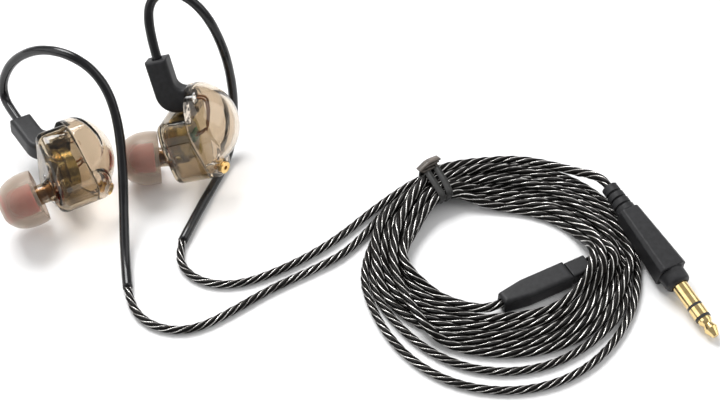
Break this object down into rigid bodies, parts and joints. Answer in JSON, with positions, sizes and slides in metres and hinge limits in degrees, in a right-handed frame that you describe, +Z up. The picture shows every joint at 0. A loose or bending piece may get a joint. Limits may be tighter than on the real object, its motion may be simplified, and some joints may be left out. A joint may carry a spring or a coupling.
{
  "type": "wired in-ear monitors",
  "caption": "Wired in-ear monitors with over-ear hooks, soft ear tips, a chin slider and a coiled, tied cable ending in a stereo plug.",
  "frame": {"origin": "on the desk surface, under the middle of the two earpieces and their hooks", "axes": "+Z up from the desk, +X from the left earpiece towards the coiled cable, +Y from the plug side towards the back of the hooks"},
  "size_m": [0.162, 0.0809, 0.043],
  "materials": {
    "smoked_shell": "clear smoked-brown moulding, high gloss",
    "brass_trim": "satin brass",
    "bead_metal": "grey satin",
    "mesh_metal": "fine woven mesh",
    "tip_core_silicone": "red silicone",
    "tip_dome_silicone": "translucent grey-beige silicone",
    "driver_gold": "pale gold plating",
    "driver_steel": "nickel plate",
    "driver_film": "thin film",
    "voice_copper": "enamelled copper",
    "board_green": "solder mask",
    "dark_moulding": "fine matte texture",
    "hook_tubing": "glossy soft tubing",
    "spring_wire": "drawn wire",
    "cable_jacket": "twisted black strands with silver threads",
    "tie_plastic": "flat ribbon over a wire",
    "plug_gold": "polished gold plating",
    "insulator_black": "moulded ring"
  },
  "bodies": {
    "set": {"faceplate_shell_right": "smoked_shell", "inner_shell_right": "smoked_shell", "brass_vent_right": "brass_trim", "pressure_vent_right": "bead_metal", "nozzle_mesh_right": "mesh_metal", "driver_frame_right": "driver_gold", "driver_yoke_right": "driver_steel", "driver_magnet_right": "driver_steel", "driver_pole_plate_right": "driver_steel", "driver_board_right": "board_green", "inner_wires_right": "voice_copper", "cable_boot_right": "dark_moulding", "hook_sleeve_right": "hook_tubing", "memory_wire_right": "spring_wire", "faceplate_shell_left": "smoked_shell", "inner_shell_left": "smoked_shell", "brass_vent_left": "brass_trim", "pressure_vent_left": "bead_metal", "nozzle_mesh_left": "mesh_metal", "driver_frame_left": "driver_gold", "driver_yoke_left": "driver_steel", "driver_magnet_left": "driver_steel", "driver_pole_plate_left": "driver_steel", "driver_board_left": "board_green", "inner_wires_left": "voice_copper", "cable_boot_left": "dark_moulding", "hook_sleeve_left": "hook_tubing", "memory_wire_left": "spring_wire", "cable_arm_right": "cable_jacket", "cable_arm_left": "cable_jacket", "main_lead_start": "cable_jacket", "main_lead_end": "cable_jacket", "splitter": "dark_moulding", "cable_arm_starts": "cable_jacket", "tie_band": "tie_plastic", "tie_tails": "tie_plastic", "plug_tip_contact": "plug_gold", "plug_insulators": "insulator_black", "plug_ring_contact": "plug_gold", "plug_sleeve_contact": "plug_gold", "plug_handle": "dark_moulding", "plug_relief": "dark_moulding", "cable_coil": "cable_jacket"},
    "ear_tip_right": {"ear_tip_core_right": "tip_core_silicone", "ear_tip_dome_right": "tip_dome_silicone"},
    "ear_tip_left": {"ear_tip_core_left": "tip_core_silicone", "ear_tip_dome_left": "tip_dome_silicone"},
    "driver_cone_right": {"diaphragm_right": "driver_film", "voice_coil_right": "voice_copper"},
    "driver_cone_left": {"diaphragm_left": "driver_film", "voice_coil_left": "voice_copper"},
    "chin_slider": {"chin_slider": "dark_moulding"}
  },
  "joints": [
    {"name": "ear_tip_right_slide", "type": "slide", "parent": "set", "child": "ear_tip_right", "axis": [-0.9883, -0.1491, 0.0328], "range_m": [0, 0.0008]},
    {"name": "ear_tip_left_slide", "type": "slide", "parent": "set", "child": "ear_tip_left", "axis": [-0.906, -0.3902, -0.164], "range_m": [0, 0.006]},
    {"name": "driver_cone_right_slide", "type": "slide", "parent": "set", "child": "driver_cone_right", "axis": [0.9604, -0.019, 0.2778], "range_m": [-0.00015, 0.00015], "stiffness_N_per_m": 400},
    {"name": "driver_cone_left_slide", "type": "slide", "parent": "set", "child": "driver_cone_left", "axis": [0.8137, 0.5668, -0.129], "range_m": [-0.00015, 0.00015], "stiffness_N_per_m": 400},
    {"name": "chin_slider_slide", "type": "slide", "parent": "set", "child": "chin_slider", "axis": [0.8872, 0.4614, 0], "range_m": [0, 0.003]}
  ]
}
